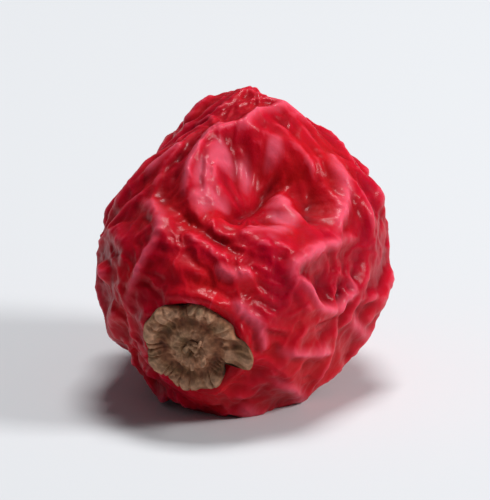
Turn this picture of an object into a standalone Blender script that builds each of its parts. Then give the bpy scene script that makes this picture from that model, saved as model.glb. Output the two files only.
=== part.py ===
"""One dried barberry, lying on its side as it dried.

A plump berry of dark red skin with its flesh dried in, a corky disc let into its tip and the
broken stump of its stalk in a dimple at the other end.  The skin fell into folds as it dried: one
wide smooth hollow on the upper side with strong ridges round it, a small one on the right flank,
and a net of rounded ridges with broad valleys all over.  +Z is up, the tip points to -Y and dips
a little, and the origin lies on the ground under the middle of the whole object.
"""

import math
import random

import bmesh
import bpy
import numpy as np
from mathutils import Matrix, Vector

MM = 0.001

# Driving dimensions of the smooth body under the folds
BODY_LENGTH = 9.15 * MM
BODY_DIAMETER = 6.4 * MM
ROUNDNESS = 2.25
STALK_END_FULLNESS = 0.09
KEEL = 0.33
TIP_DIP = math.radians(13)
CENTRE_HEIGHT = 3.12 * MM

# How finely the skin is divided
RING_SPACING = 0.205 * MM
SEGMENTS = 96
PROFILE_STEPS = 2000
SAME_PLACE = 0.001 * MM

# The seat of the disc in the tip, and the dimple and socket of the stump
SEAT_RADIUS = 1.25 * MM
SEAT_DEPTH = 0.3 * MM
SOCKET_RADIUS = 0.5 * MM
SOCKET_DEPTH = 0.25 * MM
DIMPLE_REACH = 1.0 * MM
DIMPLE_DEPTH = 0.3 * MM
SEAT_GAP = 0.1 * MM
RIM_SHARE = 0.45
RIM_BLEND = 0.8 * MM

# The collar of skin that shrank up round the disc: the three shares are of its height all round, of
# what it gains on its high side, and of its unevenness
COLLAR_OUT = 0.16 * MM
COLLAR_WIDTH = 0.2 * MM
COLLAR_HEIGHT = 0.16 * MM
COLLAR_TURN = math.radians(55)
COLLAR_SHARES = (0.6, 0.5, 0.3)
COLLAR_WAVES = (31, 1.1 * MM)

# The corky disc, with the radius of each ring of its outer face as a share of the whole, and the
# depth of that ring under the highest one
DISC_RADIUS = 1.14 * MM
DISC_THICKNESS = 0.55 * MM
DISC_FOOT = 0.94
DISC_SEED = 5
DISC_LOBES = (3, 5, 8)
DISC_LOBE_HEIGHT = 0.04 * MM
DISC_SEGMENTS = 48
DISC_FACE = (
    (1.0, 0.32 * MM),
    (1.0, 0.12 * MM),
    (0.93, 0.02 * MM),
    (0.84, 0.0),
    (0.74, 0.05 * MM),
    (0.64, 0.16 * MM),
    (0.54, 0.18 * MM),
    (0.44, 0.1 * MM),
    (0.34, 0.04 * MM),
    (0.22, 0.05 * MM),
    (0.12, 0.14 * MM),
    (0.0, 0.17 * MM),
)

# The stump of the stalk, narrow at its waist, wider at its end and leaning right and up.  Its sunken
# end is given as shares of the radius and of the length.
STUMP_RADIUS = 0.38 * MM
STUMP_LENGTH = 1.0 * MM
STUMP_WAIST = 0.3
STUMP_FLARE = 0.1
STUMP_LEAN = (0.16 * MM, 0.096 * MM)
STUMP_SPLINTERS = (-0.09 * MM, 0.06 * MM)
STUMP_SEED = 9
STUMP_END = ((0.6, 0.93), (0.0, 0.86))
STUMP_SEGMENTS = 16
STUMP_RINGS = 6

# The folds of the skin: from ridge to ridge, their height, and how far each short train of waves
# reaches.  A stray is a seed, a spacing and a reach, for moving points about.
FOLD_SPACING = 1.1 * MM
FOLD_UNEVENNESS = (0.85, 1.2)
FOLD_HEIGHT = 0.33 * MM
FOLD_SHARPNESS = 2.1
FOLD_TRAINS = 640
FOLD_SEED = 11
FOLD_UNREST = 12.0
FOLD_STRAY = (50, 3.0 * MM, 0.1 * MM)
FOLD_VIGOUR = (0.2, 0.8, 1.4)
FOLD_VIGOUR_SPREAD = 0.45
FOLD_VIGOUR_WAVES = (77, 3.0 * MM)
FOLD_AGREEMENT = 0.6
FOLD_REACH = 0.55 * MM
FOLD_WANDER = math.radians(68)
WANDER_SPACING = 3.0 * MM
PUCKER_REACH = 1.6 * MM

# The net of ridges between panels of skin, and the slow swell under everything
NET_HEIGHT = 0.24 * MM
NET_WIDTH = 0.2 * MM
NET_PANELS = 42
NET_SEED = 8
NET_UNREST = 22.0
NET_STRAY = (90, 4.0 * MM, 0.16 * MM)
SWELL_HEIGHT = 0.12 * MM
SWELL_SEED = 21
SWELL_SPACING = 4.0 * MM
SWELL_WAVES = 14

# The folds all together rise no higher than this.  In front, where the skin faces that way by more
# than the second of two cosines, the plain folds are lower by that share.
TALLEST_FOLD = 0.42 * MM
CALM_IN_FRONT = 0.6
FACING_FRONT = (0.15, 0.65)

# The front of the berry is the side seen from a little to the right of the tip and from above.
# Places there are in mm: how far to the right of the middle of the body, and how far above it.
# Each is looked for at so many points of a line through the body.
FRONT_AZIMUTH = math.radians(14.5)
FRONT_ELEVATION = math.radians(16)
FRONT_LOOKS = 61
CRATER_AT = (0.44, 1.8)
CRATER_RADIUS = 2.02 * MM
CRATER_DEPTH = 1.25 * MM
CRATER_STRAY = (40, 3.0 * MM, 0.17 * MM)
CRATER_FLATNESS = 2.4
CRATER_LIP_SOFTNESS = 1.3
CRATER_CALM = 0.92
CRATER_CALM_REACH = 0.78
FLANK_DENT_AT = (2.1, -0.6)
FLANK_DENT_RADIUS = 0.55 * MM
FLANK_DENT_DEPTH = 0.16 * MM
FLANK_DENT_CALM = 0.8
FLANK_DENT_CALM_REACH = 1.2

# Where the body is fuller or leaner than a plain round one: height, reach and place, all in mm
LUMPS = (
    (0.34, 1.5, (3.1, 0.9)),
    (-0.34, 1.4, (-2.3, 2.4)),
    (-0.5, 1.2, (1.5, 3.6)),
    (0.15, 0.8, (-0.4, 3.8)),
    (-0.25, 1.3, (-2.6, -2.3)),
)

# The strongest folds: height, width and the places that each one runs through, all in mm.  A
# negative height is a crease.  None is made narrower than the skin's mesh can carry.
NARROWEST_FOLD = 0.22 * MM
STRONG_FOLD_STRAY = (60, 1.6 * MM, 0.05 * MM)
STRONG_FOLD_BELL = 1.5
STRONG_FOLD_END = 0.25
STRONG_FOLDS = (
    (0.34, 0.22, ((-1.1, 1.3), (-1.2, 1.8), (-1.0, 2.3), (-0.6, 2.8), (0.2, 3.1))),
    (0.36, 0.2, ((-0.1, 2.85), (0.4, 3.15), (0.95, 3.35), (1.5, 3.2), (2.0, 2.85))),
    (0.3, 0.18, ((2.1, 2.6), (2.4, 2.05), (2.55, 1.4), (2.5, 0.8), (2.15, 0.4))),
    (0.34, 0.16, ((2.9, 0.3), (2.3, 0.2), (1.75, -0.05), (1.25, -0.45), (1.65, -0.8), (2.1, -1.25))),
    (0.34, 0.16, ((1.65, -0.8), (2.1, -1.25), (2.6, -1.05), (2.7, -0.6), (2.4, -0.2), (2.0, 0.05))),
    (0.2, 0.18, ((2.7, -1.3), (2.75, -2.0))),
    (0.24, 0.2, ((0.9, -2.1), (1.5, -2.25), (2.2, -2.1))),
    (0.26, 0.22, ((0.7, -2.7), (1.5, -3.1), (2.2, -2.95), (2.7, -2.4))),
    (0.2, 0.2, ((0.0, -3.3), (0.6, -3.6))),
    (0.24, 0.22, ((-0.4, -1.0), (0.2, -1.3), (0.6, -1.8), (0.55, -2.4))),
    (0.18, 0.2, ((-0.6, -0.3), (-0.1, -0.5), (0.4, -0.3))),
    (0.3, 0.2, ((-2.2, 1.5), (-1.85, 0.7), (-2.15, -0.1), (-2.5, -0.8), (-2.7, -1.4))),
    (0.24, 0.22, ((-2.75, 1.9), (-3.0, 1.3), (-3.2, 0.5))),
    (0.24, 0.2, ((-1.3, 2.6), (-1.8, 2.1), (-2.2, 1.7))),
    (0.4, 0.34, ((1.05, 2.2), (1.3, 1.6), (1.5, 1.05), (1.1, 0.7), (0.5, 0.75), (0.0, 0.4))),
    (-0.36, 0.3, ((-0.7, 1.1), (0.1, 1.6), (0.65, 2.0), (1.0, 2.6))),
    (-0.22, 0.3, ((1.9, 2.4), (2.05, 1.5), (1.8, 0.7))),
    (-0.24, 0.22, ((-1.5, 1.2), (-0.95, 0.8), (-0.4, 0.4), (0.2, 0.0))),
)

# The underside, where the berry lay, is a place in two angles in degrees: from the tip, and round
# the berry from its top
UNDERSIDE_AT = (96, 180)
UNDERSIDE_REACH = 1.7 * MM
UNDERSIDE_FILL = 0.16 * MM
UNDERSIDE_CALM = 0.75

ALONG = np.array((0.0, 1.0, 0.0))
TINY = 1e-9


def clear_scene():
    for item in list(bpy.data.objects):
        bpy.data.objects.remove(item, do_unlink=True)


def plain_material(name, colour, roughness):
    material = bpy.data.materials.new(name)
    material.use_nodes = True
    shader = material.node_tree.nodes["Principled BSDF"]
    shader.inputs["Base Color"].default_value = (*colour, 1.0)
    shader.inputs["Roughness"].default_value = roughness
    shader.inputs["Metallic"].default_value = 0.0
    return material


def smooth_step(low, high, value):
    share = np.clip((value - low) / (high - low), 0.0, 1.0)
    return share * share * (3.0 - 2.0 * share)


def bell(distance, reach, power=2):
    """1 in the middle, falling to about a third at the reach."""
    return np.exp(-((distance / reach) ** power))


def body_radius(along):
    """Radius of the smooth body at a distance along its axis; the tip is at minus half its length."""
    reach = min(abs(2.0 * along / BODY_LENGTH), 1.0)
    fullness = 1.0 + STALK_END_FULLNESS * 2.0 * along / BODY_LENGTH
    return 0.5 * BODY_DIAMETER * fullness * (1.0 - reach**ROUNDNESS) ** (1.0 / ROUNDNESS)


def keel(height):
    """How much narrower the body is at a height over its axis: its back is drawn together."""
    return 1.0 - KEEL * np.clip(height / (0.5 * BODY_DIAMETER), 0.0, 1.2) ** 3


def search(low, high, is_low):
    """The value at which a condition stops holding, by halving."""
    for _ in range(40):
        middle = 0.5 * (low + high)
        low, high = (middle, high) if is_low(middle) else (low, middle)
    return low


def body_point(from_tip, around):
    """Point of the smooth body in the direction of two angles in degrees."""
    along = -math.cos(math.radians(from_tip))
    across = math.sin(math.radians(from_tip))
    reach = search(0.0, BODY_LENGTH, lambda far: far * across < body_radius(far * along))
    turn = math.radians(around)
    return reach * np.array((across * math.sin(turn), along, across * math.cos(turn)))


def along_at_radius(radius, end):
    """Distance along the axis at which the body has that radius; end is -1 at the tip, 1 at the stalk."""
    return end * search(0.0, 0.5 * BODY_LENGTH, lambda far: body_radius(end * far) > radius)


TIP_RIM = along_at_radius(SEAT_RADIUS, -1.0)
SEAT_FLOOR = TIP_RIM + SEAT_DEPTH
STALK_RIM = along_at_radius(SOCKET_RADIUS, 1.0)
SOCKET_FLOOR = STALK_RIM - SOCKET_DEPTH

LYING = Matrix.Rotation(TIP_DIP, 3, "X")
FRONT = Vector((
    math.sin(FRONT_AZIMUTH) * math.cos(FRONT_ELEVATION),
    -math.cos(FRONT_AZIMUTH) * math.cos(FRONT_ELEVATION),
    math.sin(FRONT_ELEVATION),
))
FRONT_RIGHT = Vector((math.cos(FRONT_AZIMUTH), math.sin(FRONT_AZIMUTH), 0.0))
FRONT_UP = FRONT.cross(FRONT_RIGHT)


def front_place(right, up):
    """The place on the plain body that shows in front at so many mm right of its middle and above it.

    Past its outline, that is where the view passes nearest to it.
    """
    start = LYING.transposed() @ ((FRONT_RIGHT * right + FRONT_UP * up) * MM)
    way = LYING.transposed() @ FRONT

    def place(far):
        spot = start + way * far
        return np.array((spot.x / keel(spot.z), spot.y, spot.z))

    def depth(far):
        spot = place(far)
        return body_radius(spot[1]) - math.hypot(spot[0], spot[2])

    looks = np.linspace(-0.5 * BODY_LENGTH, 0.5 * BODY_LENGTH, FRONT_LOOKS)
    deepest = max(looks, key=depth)
    return place(search(deepest, deepest + BODY_LENGTH, lambda far: depth(far) > 0.0))


def unit(vectors):
    return vectors / (np.linalg.norm(vectors, axis=-1, keepdims=True) + TINY)


def body_normals(points):
    """Outward directions of the smooth body, from the slope of its profile."""
    step = 0.01 * MM
    limit = 0.5 * BODY_LENGTH - 2.0 * step
    places = np.clip(points[:, 1], -limit, limit)
    rise = np.array([body_radius(place + step) - body_radius(place - step) for place in places])
    sideways = unit(points * (1.0, 0.0, 1.0))
    return unit(sideways - ALONG * (rise / (2.0 * step))[:, None])


def spread_places(count, unrest, dice):
    """Places spread evenly over the berry on a golden spiral, each moved about a little."""
    golden_turn = math.pi * (3.0 - math.sqrt(5.0))
    places = []
    for index in range(count):
        height = 1.0 - 2.0 * (index + 0.5) / count
        from_tip = math.degrees(math.acos(-height)) + dice.gauss(0.0, unrest / math.sqrt(count))
        around = math.degrees(index * golden_turn) + dice.gauss(0.0, unrest)
        places.append(body_point(min(max(from_tip, 2.0), 178.0), around))
    return np.array(places)


def unevenness(points, seed, spacing, waves=8):
    """A smooth unevenness of about -1 to 1 with that spacing: sine waves in random directions."""
    dice = random.Random(seed)
    total = np.zeros(len(points))
    for _ in range(waves):
        way = Vector((dice.gauss(0.0, 1.0), dice.gauss(0.0, 1.0), dice.gauss(0.0, 1.0))).normalized()
        pace = 2.0 * math.pi / (spacing * dice.uniform(0.7, 1.4))
        total += np.sin(points @ np.array(way * pace) + dice.uniform(0.0, 2.0 * math.pi))
    return total * math.sqrt(2.0 / waves)


def strayed(points, seed, spacing, reach):
    """Points moved about by up to roughly the reach, so that no line drawn from them is straight."""
    return points + reach * np.stack([unevenness(points, seed + axis, spacing) for axis in range(3)], 1)


CRATER = front_place(*CRATER_AT)
FLANK_DENT = front_place(*FLANK_DENT_AT)
UNDERSIDE = body_point(*UNDERSIDE_AT)


class Folds:
    """Short wave trains laid over the berry: across each one the skin rises into ridges and sinks.

    Near both ends the ridges run from tip to stalk, as puckers.  Round the two hollows they run in
    rings, and elsewhere their direction wanders.  Each train starts in step with its neighbours.
    """

    def __init__(self, seed):
        dice = random.Random(seed)
        self.centres = spread_places(FOLD_TRAINS, FOLD_UNREST, dice)
        normals = body_normals(self.centres)
        lengthwise = unit(ALONG - normals * normals[:, 1:2])
        crosswise = np.cross(normals, lengthwise)
        from_ends = 0.5 * BODY_LENGTH - np.abs(self.centres[:, 1])
        angle = FOLD_WANDER * unevenness(self.centres, seed + 1, WANDER_SPACING)
        angle *= smooth_step(0.0, PUCKER_REACH, from_ends)
        run = lengthwise * np.cos(angle)[:, None] + crosswise * np.sin(angle)[:, None]
        for middle, radius in ((CRATER, 1.2 * CRATER_RADIUS), (FLANK_DENT, 1.6 * FLANK_DENT_RADIUS)):
            away = self.centres - middle
            ring = np.cross(normals, unit(away))
            ring *= np.where(np.sum(ring * run, axis=1) < 0.0, -1.0, 1.0)[:, None]
            share = bell(np.linalg.norm(away, axis=1) - radius, radius)[:, None]
            run = unit(run * (1.0 - share) + ring * share)
        spacing = FOLD_SPACING * np.array([dice.uniform(*FOLD_UNEVENNESS) for _ in normals])
        self.paces = np.cross(normals, run) * (2.0 * math.pi / spacing)[:, None]
        self.starts = np.zeros(FOLD_TRAINS)
        self.fall_in_step(dice)

    def fall_in_step(self, dice):
        order = list(range(FOLD_TRAINS))
        dice.shuffle(order)
        for rank, train in enumerate(order[1:], 1):
            others = order[:rank]
            away = self.centres[train] - self.centres[others]
            weight = bell(np.linalg.norm(away, axis=1), math.sqrt(2.0) * FOLD_REACH)
            way = np.where(self.paces[others] @ self.paces[train] < 0.0, -1.0, 1.0)
            phase = way * (np.sum(self.paces[others] * away, axis=1) + self.starts[others])
            self.starts[train] = np.angle(np.sum(weight * np.exp(1j * phase)))

    def ridges(self, points):
        """0 in the valleys to 1 on the ridges, and how well the trains agree there."""
        away = points[:, None, :] - self.centres[None]
        weight = bell(np.linalg.norm(away, axis=2), math.sqrt(2.0) * FOLD_REACH)
        nearest = self.paces[np.argmax(weight, axis=1)]
        way = np.where(nearest @ self.paces.T < 0.0, -1.0, 1.0)
        phase = way * (np.einsum("nij,ij->ni", away, self.paces) + self.starts)
        total = np.sum(weight * np.exp(1j * phase), axis=1)
        strength = np.abs(total) + TINY
        return 0.5 + 0.5 * total.real / strength, strength / np.sum(weight, axis=1)


def net_of_ridges(points, seed):
    """1 on a net of ridges between panels of skin, falling off to either side.

    The two hollows are panels of their own, so no ridge crosses them.
    """
    middles = spread_places(NET_PANELS, NET_UNREST, random.Random(seed))
    hollows = ((CRATER, 1.1 * CRATER_RADIUS), (FLANK_DENT, 1.5 * FLANK_DENT_RADIUS))
    for middle, radius in hollows:
        middles = middles[np.linalg.norm(middles - middle, axis=1) > radius]
    middles = np.concatenate((middles, [middle for middle, _ in hollows]))
    distance = np.linalg.norm(points[:, None, :] - middles[None], axis=2)
    order = np.argsort(distance, axis=1)
    nearest, second = order[:, 0], order[:, 1]
    rows = np.arange(len(points))
    apart = np.linalg.norm(middles[nearest] - middles[second], axis=1)
    to_edge = (distance[rows, second] ** 2 - distance[rows, nearest] ** 2) / (2.0 * apart)
    return 1.0 / (1.0 + (to_edge / NET_WIDTH) ** 2)


def route_between(places, steps=14):
    """Places on the skin along a smooth curve through a few in front."""
    flat = [Vector(place) for place in places]
    flat = [2.0 * flat[0] - flat[1], *flat, 2.0 * flat[-1] - flat[-2]]
    route = []
    for before, first, last, after in zip(flat, flat[1:], flat[2:], flat[3:]):
        for step in range(steps + (last is flat[-2])):
            share = step / steps
            near = first + 0.5 * share * (last - before)
            far = last - 0.5 * (1.0 - share) * (after - first)
            route.append(front_place(*near.lerp(far, share * share * (3.0 - 2.0 * share))))
    return np.array(route)


def strong_fold(points, height, width, places):
    """A ridge along a route, which dies away over the quarter at each end."""
    route = route_between(places)
    share = np.linspace(0.0, 1.0, len(route))
    fade = smooth_step(0.0, STRONG_FOLD_END, share) * smooth_step(0.0, STRONG_FOLD_END, 1.0 - share)
    distance = np.linalg.norm(points[:, None, :] - route[None], axis=2)
    lift = bell(distance.min(axis=1), width, STRONG_FOLD_BELL)
    return height * fade[np.argmin(distance, axis=1)] * lift


def relief(points):
    """Height of the dried skin over the smooth body, at points of that body."""
    from_crater = np.linalg.norm(strayed(points, *CRATER_STRAY) - CRATER, axis=1)
    from_dent = np.linalg.norm(points - FLANK_DENT, axis=1)
    on_underside = bell(np.linalg.norm(points - UNDERSIDE, axis=1), UNDERSIDE_REACH, 4)
    facing = body_normals(points) @ np.array(LYING).T @ np.array(FRONT)

    ridge, agreement = Folds(FOLD_SEED).ridges(strayed(points, *FOLD_STRAY))
    weakest, usual, strongest = FOLD_VIGOUR
    vigour = usual + FOLD_VIGOUR_SPREAD * unevenness(points, *FOLD_VIGOUR_WAVES)
    folds = FOLD_HEIGHT * ridge**FOLD_SHARPNESS * np.clip(vigour, weakest, strongest)
    folds *= smooth_step(0.0, FOLD_AGREEMENT, agreement)
    net = NET_HEIGHT * net_of_ridges(strayed(points, *NET_STRAY), NET_SEED)
    height = np.hypot(folds, net) * (1.0 - CALM_IN_FRONT * smooth_step(*FACING_FRONT, facing))
    height *= 1.0 - FLANK_DENT_CALM * bell(from_dent, FLANK_DENT_CALM_REACH * FLANK_DENT_RADIUS, 4)
    height *= 1.0 - CRATER_CALM * bell(from_crater, CRATER_CALM_REACH * CRATER_RADIUS, 6)
    near = strayed(points, *STRONG_FOLD_STRAY)
    for strength, width, places in STRONG_FOLDS:
        height += strong_fold(near, strength * MM, max(width * MM, NARROWEST_FOLD), places)
    height = TALLEST_FOLD * np.tanh(height / TALLEST_FOLD)

    height += SWELL_HEIGHT * unevenness(points, SWELL_SEED, SWELL_SPACING, SWELL_WAVES)
    for lump, reach, place in LUMPS:
        height += lump * MM * bell(np.linalg.norm(points - front_place(*place), axis=1), reach * MM)
    dish = 1.0 - np.minimum(from_crater / CRATER_RADIUS, 1.0) ** CRATER_FLATNESS
    height -= CRATER_DEPTH * dish**CRATER_LIP_SOFTNESS
    height -= FLANK_DENT_DEPTH * (1.0 - smooth_step(0.0, FLANK_DENT_RADIUS, from_dent))
    return height * (1.0 - UNDERSIDE_CALM * on_underside) + UNDERSIDE_FILL * on_underside


def turned(profile, segments):
    """A closed mesh turned about the Y axis from (radius, along) points, first and last on the axis."""
    mesh = bmesh.new()
    points = [mesh.verts.new((radius, along, 0.0)) for radius, along in profile]
    edges = [mesh.edges.new(pair) for pair in zip(points, points[1:])]
    bmesh.ops.spin(
        mesh,
        geom=points + edges,
        cent=(0.0, 0.0, 0.0),
        axis=(0.0, 1.0, 0.0),
        angle=2.0 * math.pi,
        steps=segments,
        use_merge=True,
    )
    bmesh.ops.remove_doubles(mesh, verts=mesh.verts[:], dist=SAME_PLACE)
    bmesh.ops.recalc_face_normals(mesh, faces=mesh.faces[:])
    return mesh


def finished_object(name, mesh, material, holder):
    data = bpy.data.meshes.new(name)
    mesh.to_mesh(data)
    mesh.free()
    data.materials.append(material)
    data.shade_smooth()
    item = bpy.data.objects.new(name, data)
    bpy.context.scene.collection.objects.link(item)
    item.parent = holder
    return item


def body_profile():
    """The seat in the tip, the plump body in even steps, and the socket of the stump."""
    steps = range(PROFILE_STEPS + 1)
    fine = [TIP_RIM + (STALK_RIM - TIP_RIM) * step / PROFILE_STEPS for step in steps]
    walk = [0.0]
    for before, after in zip(fine, fine[1:]):
        walk.append(walk[-1] + math.hypot(after - before, body_radius(after) - body_radius(before)))
    rings = round(walk[-1] / RING_SPACING)
    evenly = np.interp([walk[-1] * ring / rings for ring in range(rings + 1)], walk, fine)
    seat = [(0.0, SEAT_FLOOR), (0.5 * SEAT_RADIUS, SEAT_FLOOR), (SEAT_RADIUS, SEAT_FLOOR)]
    socket = [(SOCKET_RADIUS, SOCKET_FLOOR), (0.0, SOCKET_FLOOR)]
    return seat + [(body_radius(along), along) for along in evenly] + socket


def make_berry(holder, material):
    """The body, its skin lifted and sunk by the relief, with a flat spot where it lay."""
    mesh = turned(body_profile(), SEGMENTS)
    verts = mesh.verts[:]
    points = np.array([vert.co for vert in verts])
    radii = np.hypot(points[:, 0], points[:, 2])
    at_tip = points[:, 1] < 0.0
    opening = np.where(at_tip, SEAT_RADIUS, SOCKET_RADIUS)
    past_rim = np.where(at_tip, points[:, 1] - TIP_RIM, STALK_RIM - points[:, 1])
    inside = (radii < opening + 0.01 * MM) & (past_rim > 0.01 * MM)
    share = RIM_SHARE + (1.0 - RIM_SHARE) * smooth_step(0.0, RIM_BLEND, radii - opening)
    share[inside] = 0.0
    turn = np.arctan2(points[:, 0], points[:, 2])
    collar = bell(radii - SEAT_RADIUS - COLLAR_OUT, COLLAR_WIDTH) * at_tip
    everywhere, on_high_side, uneven = COLLAR_SHARES
    collar *= (
        everywhere
        + on_high_side * np.cos(turn - COLLAR_TURN)
        + uneven * unevenness(points, *COLLAR_WAVES)
    )
    collar[inside] = 0.0
    height = relief(points) * share + COLLAR_HEIGHT * collar
    moved = points + body_normals(points) * height[:, None]
    moved[:, 1] -= np.where(at_tip, 0.0, DIMPLE_DEPTH * bell(radii, DIMPLE_REACH))
    moved[:, 0] *= keel(moved[:, 2])
    for vert, place in zip(verts, moved):
        place = LYING @ Vector(place)
        place.z = max(place.z, -CENTRE_HEIGHT)
        vert.co = LYING.transposed() @ place
    return finished_object("berry", mesh, material, holder)


def make_disc(holder, material):
    """A thin corky button with a worn lobed edge, a sunken ring and a pitted middle."""
    dice = random.Random(DISC_SEED)
    lobes = [(count, dice.uniform(0.4, 1.0), dice.uniform(0.0, 2.0 * math.pi)) for count in DISC_LOBES]
    back = SEAT_FLOOR - SEAT_GAP
    front = back - DISC_THICKNESS
    profile = [(0.0, back), (0.5 * DISC_RADIUS, back), (DISC_FOOT * DISC_RADIUS, back)]
    profile += [(share * DISC_RADIUS, front + depth) for share, depth in DISC_FACE]
    mesh = turned(profile, DISC_SEGMENTS)
    for vert in mesh.verts:
        turn = math.atan2(vert.co.x, vert.co.z)
        outward = math.hypot(vert.co.x, vert.co.z) / DISC_RADIUS
        wave = DISC_LOBE_HEIGHT * sum(size * math.sin(count * turn + start) for count, size, start in lobes)
        stretch = 1.0 + wave * outward**2 / DISC_RADIUS
        lift = wave * outward**2 if vert.co.y < back - SEAT_GAP else 0.0
        vert.co = (vert.co.x * stretch, vert.co.y - lift, vert.co.z * stretch)
    return finished_object("stigma_disc", mesh, material, holder)


def make_stump(holder, material):
    """The stalk, narrow in the middle and leaning a little, snapped off with an uneven sunken end."""
    dice = random.Random(STUMP_SEED)
    back = SOCKET_FLOOR - DIMPLE_DEPTH + SEAT_GAP
    profile = [(0.0, back)]
    for ring in range(STUMP_RINGS + 1):
        share = ring / STUMP_RINGS
        width = 1.0 - STUMP_WAIST * math.sin(math.pi * min(1.0, 1.2 * share)) + STUMP_FLARE * share
        profile.append((STUMP_RADIUS * width, back + STUMP_LENGTH * share))
    profile += [(radius * STUMP_RADIUS, back + far * STUMP_LENGTH) for radius, far in STUMP_END]
    mesh = turned(profile, STUMP_SEGMENTS)
    splinters = {}
    for vert in mesh.verts:
        share = (vert.co.y - back) / STUMP_LENGTH
        side = round(math.degrees(math.atan2(vert.co.x, vert.co.z)))
        if side not in splinters:
            splinters[side] = dice.uniform(*STUMP_SPLINTERS)
        if share > 0.9:
            vert.co.y += splinters[side]
        vert.co.x += STUMP_LEAN[0] * share**2
        vert.co.z += STUMP_LEAN[1] * share**2
    return finished_object("stalk_stub", mesh, material, holder)


def centre_over_origin(holder, items):
    """Moves the holder so that the whole object is centred over the origin."""
    bpy.context.view_layer.update()
    corners = np.array([item.matrix_world @ vert.co for item in items for vert in item.data.vertices])
    middle = 0.5 * (corners.min(axis=0) + corners.max(axis=0))
    holder.location.x -= middle[0]
    holder.location.y -= middle[1]


clear_scene()
barberry = bpy.data.objects.new("barberry", None)
bpy.context.scene.collection.objects.link(barberry)
barberry.rotation_euler = (TIP_DIP, 0.0, 0.0)
barberry.location = (0.0, 0.0, CENTRE_HEIGHT)
berry = make_berry(barberry, plain_material("dried_red_skin", (0.30, 0.004, 0.012), 0.45))
disc = make_disc(barberry, plain_material("corky_disc", (0.25, 0.17, 0.09), 0.85))
stump = make_stump(barberry, plain_material("dry_stalk", (0.20, 0.13, 0.06), 0.8))
centre_over_origin(barberry, (berry, disc, stump))
bpy.context.view_layer.update()
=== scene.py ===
import math
import random

import bpy
import numpy as np
from mathutils import Matrix, Vector, noise


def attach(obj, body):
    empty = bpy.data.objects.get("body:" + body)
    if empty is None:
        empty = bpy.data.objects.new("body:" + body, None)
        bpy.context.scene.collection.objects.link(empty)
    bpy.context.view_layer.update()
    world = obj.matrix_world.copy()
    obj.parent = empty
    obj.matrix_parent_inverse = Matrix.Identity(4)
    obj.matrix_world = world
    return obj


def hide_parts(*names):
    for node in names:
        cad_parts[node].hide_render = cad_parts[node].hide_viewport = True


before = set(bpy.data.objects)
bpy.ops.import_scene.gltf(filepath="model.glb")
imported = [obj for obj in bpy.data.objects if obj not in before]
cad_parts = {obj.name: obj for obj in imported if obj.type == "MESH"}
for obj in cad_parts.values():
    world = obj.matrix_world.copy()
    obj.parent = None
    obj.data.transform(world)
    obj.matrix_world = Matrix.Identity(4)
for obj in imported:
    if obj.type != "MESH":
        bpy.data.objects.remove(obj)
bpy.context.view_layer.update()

# The berry: a plump fruit whose skin was too large for what was left once the water was gone, and
# fell into folds.  Skin and flesh dried into one tough body, dark red and satin glossy, which keeps
# the flat spot that it lay on.  It holds a corky disc in its tip and a stub of stalk at the back.

MM = 0.001

# The smooth body under the folds, which lies with its tip a little down, and the side of it that is
# its front: a little to the right of the tip and from above.
BODY_LENGTH = 9.15 * MM
BODY_DIAMETER = 6.4 * MM
ROUNDNESS = 2.25
STALK_END_FULLNESS = 0.09
KEEL = 0.33
KEEL_TOP = 1.2
KEEL_POWER = 3
TIP_DIP = math.radians(13)
BODY_CENTRE = Vector((-0.076, -0.164, 3.12)) * MM
VIEW_AZIMUTH = math.radians(14.5)
VIEW_ELEVATION = math.radians(16)
VIEW_LOOKS = 61

# How finely the skin is divided, the seat of the disc and the socket of the stub, with the share of
# rings that each gets, and how much of the folds is left at their rims.
SKIN_SEGMENTS = 100
SKIN_RINGS = 59
SKIN_HALVINGS = 2
PROFILE_STEPS = 800
SAME_PLACE = 0.01 * MM
SEAT_RADIUS = 1.1 * MM
SEAT_FLOOR = -4.1 * MM
SEAT_SLOPE = 0.86
SEAT_RINGS = 0.35
SOCKET_RADIUS = 0.34 * MM
SOCKET_FLOOR = 4.25 * MM
SOCKET_RINGS = 0.5
RIM_SHARE = 0.45
RIM_BLEND = 0.8 * MM

# The collar of skin that shrank up round the disc, and the dimple round the stub.  The three shares
# are of the collar's height all round, of what it gains on its high side, and of its unevenness.
COLLAR_OUT = 0.16 * MM
COLLAR_WIDTH = 0.15 * MM
COLLAR_HEIGHT = 0.2 * MM
COLLAR_TURN = math.radians(55)
COLLAR_SHARES = (0.6, 0.5, 0.3)
COLLAR_WAVES = (31, 1.1 * MM)
DIMPLE_REACH = 1.0 * MM
DIMPLE_DEPTH = 0.3 * MM

# The folds of the skin: from ridge to ridge, their height, and how far each short train of waves
# reaches.  A stray is a seed, a spacing and a reach, for moving points about.
FOLD_SPACING = 1.1 * MM
FOLD_UNEVENNESS = (0.85, 1.2)
FOLD_HEIGHT = 0.33 * MM
FOLD_SHARPNESS = 2.1
FOLD_TRAINS = 640
FOLD_SEED = 11
FOLD_UNREST = 12.0
FOLD_STRAY = (50, 3.0 * MM, 0.1 * MM)
FOLD_VIGOUR = (0.2, 0.8, 1.4)
FOLD_VIGOUR_SPREAD = 0.45
FOLD_VIGOUR_WAVES = (77, 3.0 * MM)
FOLD_AGREEMENT = 0.6
FOLD_REACH = 0.55 * MM
FOLD_WANDER = math.radians(68)
WANDER_SPACING = 3.0 * MM
PUCKER_REACH = 1.6 * MM
POINTS_AT_ONCE = 3000

# The net of ridges between panels of skin, and the slow swell under everything.
NET_HEIGHT = 0.24 * MM
NET_WIDTH = 0.2 * MM
NET_PANELS = 42
NET_SEED = 8
NET_UNREST = 22.0
NET_STRAY = (90, 4.0 * MM, 0.16 * MM)
SWELL_HEIGHT = 0.12 * MM
SWELL_SEED = 21
SWELL_SPACING = 4.0 * MM
SWELL_WAVES = 14

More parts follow.
